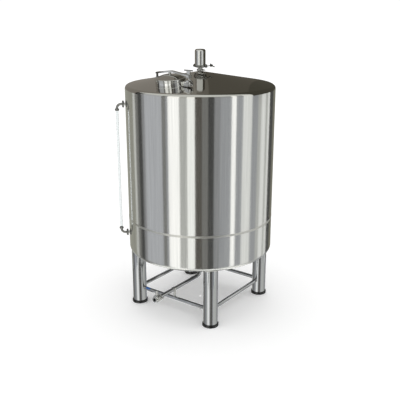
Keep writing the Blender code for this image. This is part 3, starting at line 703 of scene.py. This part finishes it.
def arc(centre, radius, start, end, steps=16):
    """Points of an arc in a plane, from start to end in degrees."""
    angle = np.radians(np.linspace(start, end, steps + 1))
    return np.stack([centre[0] + radius * np.cos(angle), centre[1] + radius * np.sin(angle)], axis=-1)


def tube(path, across, radius, bore=None, sides=48):
    """Points p + r (cos t * a + sin t * b): a is the normal of the path's plane, and b is square to a
    and to the path. With a bore, rows of that radius run back inside, and without one, each end closes
    on its middle."""
    path = np.asarray(path, float)
    along = np.gradient(path, axis=0)
    along /= np.linalg.norm(along, axis=1, keepdims=True)
    a = np.asarray(across, float)
    b = np.cross(along, a)[:, None]
    t = around(sides)[None, :, None]
    spokes = np.cos(t) * a + np.sin(t) * b
    outer = path[:, None] + radius * spokes
    if bore:
        inner = path[::-1, None] + bore * spokes[::-1]
        return grid(np.concatenate([outer, inner]), wrap_rows=True)
    ends = [np.broadcast_to(path[i], (1, sides, 3)) for i in (0, -1)]
    return grid(np.concatenate([ends[0], outer, ends[1]]))


bend = arc((-ELBOW_R, OUTLET_Z + ELBOW_R), ELBOW_R, 0, -90)
riser_path = [(0, 0, head_z(0) + 0.040), (0, 0, 0.40), (0, 0, 0.33)]
riser_path += [(0, y, z) for y, z in bend] + [(0, -0.061, OUTLET_Z)]
riser = tube(riser_path, (1, 0, 0), TUBE_R, BORE_R)
piece("riser_and_elbow", [riser], BUFFED, replaces=["outlet_elbow"])

outlet_frame = frame_at((0, 0, OUTLET_Z), (0, -1, 0))
pipe_profile = flanged(BORE_R, TUBE_R, PIPE_START, PIPE_END, FLANGE_R, FLANGE_T)
pipe = ring(pipe_profile, 0.0008, outlet_frame)
piece("outlet_tube", [pipe], BUFFED, replaces=["outlet_pipe"])

head_weld = circle(TUBE_R, 72, frame_at((0, 0, head_z(TUBE_R))))
elbow_weld = circle(TUBE_R, 72, frame_at((0, -0.0611, OUTLET_Z), (0, -1, 0)))
piece("riser_welds", [bead(*head_weld, 0.004, 24), bead(*elbow_weld, 0.0015, 24)], WELD)

# %% [markdown]
# Sanitary joints are closed by a hinged clamp: a grooved band, a hinge block on one side, and on
# the other two ears that a bolt pulls together with a wing nut. Small blocks are boxes whose
# edges are rounded, worked out like a sphere whose eight parts are pulled apart to the corners.

# %% Blocks, plates and clamps
def block(low, high, radius, place=WORLD, steps=3):
    """Point = middle + corner * (half - r) + r n: n runs over the unit sphere, and corner holds the
    signs of the eighth of the sphere that n is in, so flat faces open up between the eighths."""
    low, high = np.asarray(low, float), np.asarray(high, float)
    middle, half = (low + high) / 2, (high - low) / 2
    radius = min(radius, 0.98 * half.min())
    quarter = np.linspace(0, np.pi / 2, steps + 1)
    lat = np.concatenate([quarter - np.pi / 2, quarter])[:, None]
    lat_sign = np.repeat([-1, 1], steps + 1)[:, None]
    lon = np.concatenate([quarter + k * np.pi / 2 for k in range(4)])[None, :]
    sign_x = np.repeat([1, -1, -1, 1], steps + 1)[None, :]
    sign_y = np.repeat([1, 1, -1, -1], steps + 1)[None, :]
    sphere = np.cos(lat) * np.cos(lon), np.cos(lat) * np.sin(lon), np.sin(lat)
    corner = np.stack(np.broadcast_arrays(sign_x, sign_y, lat_sign), -1)
    points = middle + corner * (half - radius) + radius * np.stack(np.broadcast_arrays(*sphere), -1)
    poles = [np.broadcast_to(middle + (0, 0, sign * half[2]), points[:1].shape) for sign in (-1, 1)]
    return grid(placed(np.concatenate([poles[0], points, poles[1]]), place))


def plate(outline, low, high, place=WORLD, edge=0.0008, corner=0.0):
    """A flat shape between two heights of the frame. Rows are the outline moved inwards by
    edge (1 - sin a) and up by edge (1 - cos a), so its rims are round. The middle closes both faces."""
    outline = np.asarray(outline, float)
    if corner:
        outline = rounded(outline, corner, closed=True)
    ahead, behind = np.roll(outline, -1, axis=0) - outline, outline - np.roll(outline, 1, axis=0)
    across = [np.stack([d[:, 1], -d[:, 0]], -1) for d in (ahead, behind)]
    normals = [d / np.linalg.norm(d, axis=1, keepdims=True) for d in across]
    outward = normals[0] + normals[1]
    outward /= np.maximum((outward * normals[0]).sum(axis=1, keepdims=True), 0.2)
    area = (outline[:, 0] * ahead[:, 1] - outline[:, 1] * ahead[:, 0]).sum()
    outward *= np.sign(area)
    a = np.linspace(0, np.pi / 2, 4)
    inset = np.concatenate([edge * (1 - np.sin(a)), edge * (1 - np.sin(a[::-1]))])
    height = np.concatenate([low + edge * (1 - np.cos(a)), high - edge * (1 - np.cos(a[::-1]))])
    plan = outline[None] - inset[:, None, None] * outward[None]
    points = np.concatenate([plan, np.broadcast_to(height[:, None, None], plan[..., :1].shape)], axis=-1)
    middle = outline.mean(axis=0)
    ends = [np.broadcast_to((*middle, level), points[:1].shape) for level in (low, high)]
    return grid(placed(np.concatenate([ends[0], points, ends[1]]), place))


def clamp(flange_r, nut_reach, place, nut=1.0, tall=1.0, nut_turn=0.0):
    """Band, hinge, two ears, bolt and wing nut, about the frame's third axis, with the bolt along its
    second. Hinge and ears are tall times the usual height. The wings turn about the bolt in degrees."""
    inner, outer, half = flange_r + 0.0006, flange_r + 0.0075, 0.009
    shoulder, bite, bolt_x = outer - 0.003, outer - 0.004, outer + 0.009
    hinge_t, ear_t = 0.007 * tall, 0.008 * tall
    band = [(inner, -half), (shoulder, -half), (outer, -half / 2), (outer, half / 2), (shoulder, half)]
    parts = [ring(band + [(inner, half)], 0.0012, place)]
    parts.append(block((-outer - 0.010, -0.007, -hinge_t), (-bite, 0.007, hinge_t), 0.003, place))
    for low, high in ((-0.009, -0.0018), (0.0018, 0.009)):
        parts.append(block((bite, low, -ear_t), (outer + 0.016, high, ear_t), 0.0022, place))
    shank, head = (-0.012, nut_reach + 0.007 * nut, 0.0035, 0.0006), (-0.014, -0.009, 0.006, 0.001)
    for low, high, radius, edge in (shank, head):
        ends = placed(np.array([(bolt_x, low, 0.0), (bolt_x, high, 0.0)]), place)
        parts.append(rod(*ends, radius, edge, steps=24))
    nut_half = 0.008 * nut
    along = frame_at(placed(np.array([bolt_x, nut_reach, 0.0]), place), place[:3, 1], place[:3, 0])
    barrel = [(0, -nut_half), (0.0085 * nut, -nut_half), (0.0062 * nut, nut_half), (0, nut_half)]
    parts.append(turned(rounded(barrel, 0.001), along, 32))
    turn = math.radians(nut_turn)
    wing_first = math.cos(turn) * place[:3, 0] - math.sin(turn) * place[:3, 2]
    wing_third = math.sin(turn) * place[:3, 0] + math.cos(turn) * place[:3, 2]
    flat = frame_at(along[:3, 3], wing_third, wing_first)
    for side in (-1, 1):
        wing = [(0.003, -0.9), (0.010, -0.5), (0.020, 0.5), (0.021, 1.5), (0.015, 1.9), (0.007, 0.9)]
        outline = [(side * x * nut, y * nut_half) for x, y in wing]
        parts.append(plate(outline, -0.002, 0.002, flat, 0.0009, corner=0.003 * nut))
    return parts


clamp_frame = frame_at((0, -PIPE_END, OUTLET_Z), (0, 1, 0), (-1, 0, 0))
piece("outlet_clamp_band", clamp(FLANGE_R, 0.026, clamp_frame), CAST, replaces=["outlet_clamp"])

# %% [markdown]
# The butterfly valve is a short round body in two halves, a disc that turns in its bore on a
# stem, and a flat lever on top. The lever has a blue sleeve, dipped and so thick and round.

# %% Valve
VALVE_Y, VALVE_HALF = -0.697, 0.040
BOLT_OFFSET = 0.0235
valve_frame = frame_at((0, VALVE_Y, OUTLET_Z), (0, -1, 0))
front_half = [(BORE_R, GAP), (0.036, GAP), (0.036, 0.014), (0.034, 0.016), (0.0245, 0.0165)]
front_half += [(0.0205, 0.021), (0.0205, 0.034), (0.0265, 0.0345), (0.0265, VALVE_HALF)]
front_half.append((BORE_R, VALVE_HALF))
back_half = [(min(r, FLANGE_R) if h > 0.034 else r, -min(h, VALVE_HALF - GAP)) for r, h in front_half]
body_parts = [ring(half, 0.0012, valve_frame) for half in (front_half, back_half)]
axis_at = np.array([0.0, VALVE_Y, OUTLET_Z])
body_parts.append(rod(axis_at + (0, 0, 0.030), axis_at + (0, 0, 0.056), 0.0095, 0.001))
for side_x, side_z in ((-1, -1), (-1, 1), (1, -1), (1, 1)):
    bolt_at = axis_at + (side_x * BOLT_OFFSET, 0, side_z * BOLT_OFFSET)
    body_parts.append(rod(bolt_at + (0, 0.019, 0), bolt_at - (0, 0.019, 0), 0.0042, 0.0008, steps=24))
piece("valve_housing", body_parts, CAST, replaces=["valve_body"])
seat = square(0.0159, BORE_R + 0.0006, -0.030, 0.0385)
piece("valve_seat", [ring(seat, 0.0006, valve_frame)], GASKET)

flap_parts = [
    rod(axis_at, axis_at + (0, 0, 0.0684), 0.005),
    rod(axis_at - (0, 0.0025, 0), axis_at + (0, 0.0025, 0), 0.0155, 0.0012, steps=64),
    rod(axis_at + (0, 0, 0.0563), axis_at + (0, 0, 0.0744), 0.010, 0.0012),
]
piece("valve_flap_and_stem", flap_parts, CAST, "valve_lever_set", replaces=["valve_stem"])

LEVER_TOP = OUTLET_Z + 0.0747
lever_frame = frame_at((0, VALVE_Y, LEVER_TOP))
lever_outline = np.concatenate([arc((0, 0), 0.011, -90, 90), arc((-0.152, 0), 0.006, 90, 270)])
lever_parts = [plate(lever_outline, 0.0, 0.004, lever_frame)]
lever_parts.append(rod((0, VALVE_Y, LEVER_TOP + 0.003), (0, VALVE_Y, LEVER_TOP + 0.008), 0.0065, 0.0012))
piece("lever_bar", lever_parts, CAST, "valve_lever_set", replaces=["valve_lever"])

sleeve = block((-0.131, -0.012, -0.006), (-0.083, 0.012, 0.010), 0.0065, lever_frame, steps=6)
piece("lever_sleeve", [sleeve], VINYL, "valve_lever_set", ["valve_grip"])

# %% [markdown]
# The outlet pipe rests in a clip: a collar round it on a short post that stands on the front
# brace. The post is a block whose ends sink into what it joins, as a welded post's do.

# %% Pipe clip
CLIP_HALF = 0.012
collar = square(0.0195, 0.02305, -CLIP_HALF, CLIP_HALF)
clip_parts = [ring(collar, 0.0008, frame_at((0, -LEG_OFFSET, OUTLET_Z), (0, 1, 0)))]
post_low = (0.006, -LEG_OFFSET - CLIP_HALF, BRACE_Z + 0.014)
post_high = (0.018, -LEG_OFFSET + CLIP_HALF, OUTLET_Z - 0.018)
clip_parts.append(block(post_low, post_high, 0.0015))
piece("outlet_pipe_clip", clip_parts, CAST, replaces=["pipe_clip"])

# %% [markdown]
# The manway gets a frame of its own that leans forwards by five degrees. The neck is a short tube
# with a thick seat at its top. It is welded to the roof along the line where a cylinder meets a
# cone, which is found by sliding points up the neck onto the cone.

# %% Manway neck
NECK_BORE, NECK_R, SEAT_R = 0.1305, 0.1345, 0.1370
NECK_LOW, NECK_TOP = -0.046, 0.058
MANWAY_STEPS = 192
manway = frame_at(MANWAY_AT, LEAN)

neck_profile = [(NECK_BORE, NECK_LOW), (NECK_R, NECK_LOW), (NECK_R, 0.046), (SEAT_R, 0.050)]
neck_profile += [(SEAT_R, NECK_TOP), (NECK_BORE, NECK_TOP)]
neck_ring = ring(neck_profile, 0.0015, manway, MANWAY_STEPS)
piece("manway_neck_ring", [neck_ring], CAST, replaces=["manway_neck"])

neck_loop, neck_out, neck_up = circle(NECK_R, 240, manway)
neck_weld = bead(onto_roof(neck_loop), neck_out, neck_up, 0.0025, 90)
piece("manway_neck_weld", [neck_weld], CAST)

# %% [markdown]
# The lid is a spun disc: a low dome that flattens into a rolled rim, which overhangs the seat.
# A thin gasket shows as a dark line between the two. It is moulded onto the lid, so it swings
# with it.

# %% Lid and gasket
LID_R, LID_UNDER, RIM_N = 0.1400, 0.0595, 0.070
DOME_R, DOME_RISE = 0.126, 0.032
dome_r = np.linspace(0, DOME_R, 28)
dome = np.stack([dome_r, RIM_N + DOME_RISE * (1 - (dome_r / DOME_R) ** 2.3)], axis=-1)
lid_rim = [(DOME_R, RIM_N), (0.1345, RIM_N), (LID_R, 0.067), (LID_R, 0.0600), (0.1365, LID_UNDER)]
lid_profile = np.concatenate([dome[:-1], rounded(lid_rim, 0.004, steps=6), [(0, LID_UNDER)]])
lid_disc = turned(lid_profile, manway, MANWAY_STEPS)
piece("lid_disc", [lid_disc], CAST, "manway_lid_set", replaces=["manway_lid"])
gasket = ring(square(0.132, 0.1368, 0.0583, 0.0598), 0.0004, manway, MANWAY_STEPS)
piece("lid_gasket", [gasket], GASKET, "manway_lid_set")

# %% [markdown]
# Some pieces of the manway are cut from plate: two pairs of lugs, and the bridge bar, which is
# slotted for the swing bolt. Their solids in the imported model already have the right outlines,
# so a copy of each is merged, freed of the lines inside its flat faces, and only its edges are
# softened. That softening is the thin bright line that a deburred plate has.

# %% Cut plates
def softened(node, name, material, width, body="tank"):
    """A merged copy of a CAD node with a bevel of this width on every edge that turns sharply."""
    shape = bmesh.new()
    shape.from_mesh(nodes[node].data)
    bmesh.ops.remove_doubles(shape, verts=shape.verts, dist=1e-5)
    bmesh.ops.dissolve_limit(shape, angle_limit=math.radians(0.5), verts=shape.verts, edges=shape.edges)
    edges = [edge for edge in shape.edges if edge.is_manifold and edge.calc_face_angle() > SHARP]
    bevel = {"offset": width, "segments": 2, "profile": 0.5, "affect": "EDGES", "clamp_overlap": True}
    bmesh.ops.bevel(shape, geom=edges, **bevel)
    bmesh.ops.recalc_face_normals(shape, faces=shape.faces)
    points = np.array([vertex.co for vertex in shape.verts])
    faces = [[vertex.index for vertex in face.verts] for face in shape.faces]
    shape.free()
    mesh = bpy.data.meshes.new(name)
    mesh.from_pydata(points, [], faces)
    new_piece(name, mesh, material, body, [node])


softened("manway_hinge_bracket", "hinge_lugs", CAST, 0.0012)
softened("manway_bolt_bracket", "bolt_lugs", CAST, 0.0012)
softened("manway_bridge_bar", "bridge_bar", CAST, 0.0015, "manway_lid_set")

# %% [markdown]
# The swing bolt is an eye bolt on a pin, and its T-handle is a round bar on a flat web that
# screws down onto the bridge bar. Both ride together when the bolt swings out. The web is
# bright, and the bar is machined and painted darker, as painted shade for what it mirrors.

# %% Swing bolt
BOLT_U, BOLT_N = 0.208, 0.045
BAR_N, BAR_HALF = 0.146, 0.046


def in_manway(u, v, n):
    return placed(np.array([u, v, n], float), manway)


eye_place = frame_at(in_manway(BOLT_U, 0, BOLT_N), manway[:3, 1])
eye = ring(square(0.0056, 0.012, -0.008, 0.008), 0.0015, eye_place, 64)
shank = rod(in_manway(BOLT_U, 0, BOLT_N + 0.009), in_manway(BOLT_U, 0, 0.1047), 0.006)
piece("eye_bolt", [eye, shank], CAST, "swing_bolt_set", replaces=["swing_bolt"])

web_place = frame_at(in_manway(BOLT_U, 0, 0), -manway[:3, 1], manway[:3, 0])
web_outline = [(-0.014, 0.105), (0.014, 0.105), (0.021, 0.144), (-0.021, 0.144)]
web = plate(web_outline, -0.006, 0.006, web_place, 0.0025, corner=0.003)
bar_ends = [in_manway(BOLT_U + half, 0, BAR_N) for half in (-BAR_HALF, BAR_HALF)]
grip_bar = rod(*bar_ends, 0.0055, 0.002)
# The bar's darker grey is painted shade for what it mirrors.
for name, part, metal in (("web", web, CAST), ("bar", grip_bar, MACHINED)):
    piece(f"t_handle_{name}", [part], metal, "swing_bolt_set", replaces=["swing_bolt_handle"])

# %% [markdown]
# The level gauge stands off the wall on the left of the picture: a nozzle, a clamp and an elbow
# with a gland at each end, and a clear tube between the glands. The frame of the gauge points
# out from the tank at its bearing, so both ends are made by one loop with a sign.

# %% Level gauge
GAUGE_BEARING = math.radians(-135)
GAUGE_TOP_Z, GAUGE_LOW_Z = 2.032, 0.758
JOINT, SIGHT_AT = 0.730, 0.788
GAUGE_BEND, GAUGE_TUBE_R, FERRULE_T = 0.038, 0.0112, 0.005
SIGHT_BORE, SIGHT_R = 0.0095, 0.0125
GLAND_START = GAUGE_BEND + 0.004
SIGHT_SEAT = GLAND_START + 0.0073
OUT = np.array([math.cos(GAUGE_BEARING), math.sin(GAUGE_BEARING), 0.0])
ALONG = np.array([-OUT[1], OUT[0], 0.0])


def at_gauge(out, height):
    return out * OUT + np.array([0.0, 0.0, height])


gauge_welds = []
for end, height, way in (("upper", GAUGE_TOP_Z, -1), ("lower", GAUGE_LOW_Z, 1)):
    nozzle_place = frame_at(at_gauge(0, height), OUT)
    nozzle = flanged(0, GAUGE_TUBE_R, INNER_R + 0.03, JOINT, FLANGE_R, FERRULE_T)
    nozzle_disc = turned(rounded(nozzle, 0.0008), nozzle_place, 64)
    piece(f"gauge_{end}_nozzle_tube", [nozzle_disc], CAST, replaces=[f"gauge_{end}_nozzle"])
    weld_place = frame_at(at_gauge(TANK_R, height), OUT)
    gauge_welds.append(bead(*circle(GAUGE_TUBE_R + 0.001, 48, weld_place), 0.003, 16))
    # The clamp and the elbow below are painted darker grey, as painted shade for what they mirror.
    clamp_place = frame_at(at_gauge(JOINT + GAP / 2, height), OUT, ALONG)
    clamp_parts = clamp(FLANGE_R, 0.022, clamp_place, nut=0.8)
    piece(f"gauge_{end}_clamp_band", clamp_parts, MACHINED, replaces=[f"gauge_{end}_clamp"])
    turn = arc((SIGHT_AT - GAUGE_BEND, height + way * GAUGE_BEND), GAUGE_BEND, -90 * way, 0, 20)
    path = [at_gauge(JOINT + 0.002, height)] + [at_gauge(out, level) for out, level in turn]
    path.append(at_gauge(SIGHT_AT, height + way * (GAUGE_BEND + 0.006)))
    elbow_parts = [tube(path, ALONG, GAUGE_TUBE_R)]
    ferrule = square(0, FLANGE_R, JOINT + GAP, JOINT + GAP + FERRULE_T)
    elbow_parts.append(turned(rounded(ferrule, 0.0008), nozzle_place, 64))
    gland_place = frame_at(at_gauge(SIGHT_AT, height + way * GLAND_START), (0, 0, way), OUT)
    gland = [(0, 0), (0.0185, 0), (0.020, 0.0015), (0.020, 0.012), (0.0175, 0.0135), (0.0175, 0.0175)]
    gland += [(0.0165, 0.020), (0.0132, 0.020), (0.0132, 0.007), (0, 0.007)]
    elbow_parts.append(turned(rounded(gland, 0.0008), gland_place, 64))
    piece(f"gauge_{end}_elbow_gland", elbow_parts, MACHINED, replaces=[f"gauge_{end}_elbow"])
piece("gauge_wall_welds", gauge_welds, WELD)

sight_profile = square(SIGHT_BORE, SIGHT_R, GAUGE_LOW_Z + SIGHT_SEAT, GAUGE_TOP_Z - SIGHT_SEAT)
sight_ring = ring(sight_profile, 0.0004, frame_at(at_gauge(SIGHT_AT, 0)), 64)
piece("sight_tube", [sight_ring], ACRYLIC, replaces=["gauge_sight_tube"])

# %% [markdown]
# On the tip of the cone stands the vent valve: a short nozzle, a small clamp, a base that opens
# like a funnel, a big clamp and a plain round can. All are lathe work about the tank's axis.

# %% Vent valve
VENT_FOOT, VENT_JOINT, CAN_JOINT, CAN_TOP = 2.287, 2.335, 2.374, 2.526
CAN_R, CAN_EDGE_R, BIG_FLANGE_R = 0.0508, 0.018, 0.0595

vent_nozzle = flanged(0, TUBE_R, VENT_FOOT, VENT_JOINT, FLANGE_R, FERRULE_T)
piece("vent_nozzle_tube", [turned(rounded(vent_nozzle, 0.0008))], CAST, replaces=["vent_nozzle"])
nozzle_foot = frame_at((0, 0, roof_z(TUBE_R)))
piece("vent_nozzle_weld", [bead(*circle(TUBE_R, 72, nozzle_foot), 0.004, 24)], WELD)

high = VENT_JOINT + GAP + FERRULE_T
funnel = square(0, FLANGE_R, VENT_JOINT + GAP, high)[:3]
funnel += [(TUBE_R, high), (TUBE_R, CAN_JOINT - 0.022), (0.0468, CAN_JOINT - 0.014)]
funnel += flanged(0, CAN_R, 0, CAN_JOINT, BIG_FLANGE_R, FLANGE_T)[2:]
piece("vent_funnel", [turned(rounded(funnel, 0.001))], CAST, replaces=["vent_base"])

high = CAN_JOINT + GAP + FLANGE_T
can = square(0, BIG_FLANGE_R, CAN_JOINT + GAP, high)[:3] + [(CAN_R, high), (CAN_R, CAN_TOP - CAN_EDGE_R)]
can_edge = arc((CAN_R - CAN_EDGE_R, CAN_TOP - CAN_EDGE_R), CAN_EDGE_R, 0, 90, 8)
can_profile = np.concatenate([rounded(can, 0.001), can_edge, [(0, CAN_TOP)]])
piece("vent_canister", [turned(can_profile, steps=128)], CAST, replaces=["vent_can"])

big_sizes = {"nut": 1.45, "tall": 1.8, "nut_turn": 28}
# The big clamp is painted darker grey, as painted shade for what it mirrors.
for name, radius, reach, height, bearing, metal, sizes in (
    ("small", FLANGE_R, 0.022, VENT_JOINT, -25, CAST, {"nut": 0.7}),
    ("big", BIG_FLANGE_R, 0.075, CAN_JOINT, -5, MACHINED, big_sizes),
):
    first = (math.cos(math.radians(bearing)), math.sin(math.radians(bearing)), 0)
    ring_place = frame_at((0, 0, height + GAP / 2), (0, 0, 1), first)
    band_parts = clamp(radius, reach, ring_place, **sizes)
    piece(f"vent_{name}_clamp_band", band_parts, metal, replaces=[f"vent_{name}_clamp"])
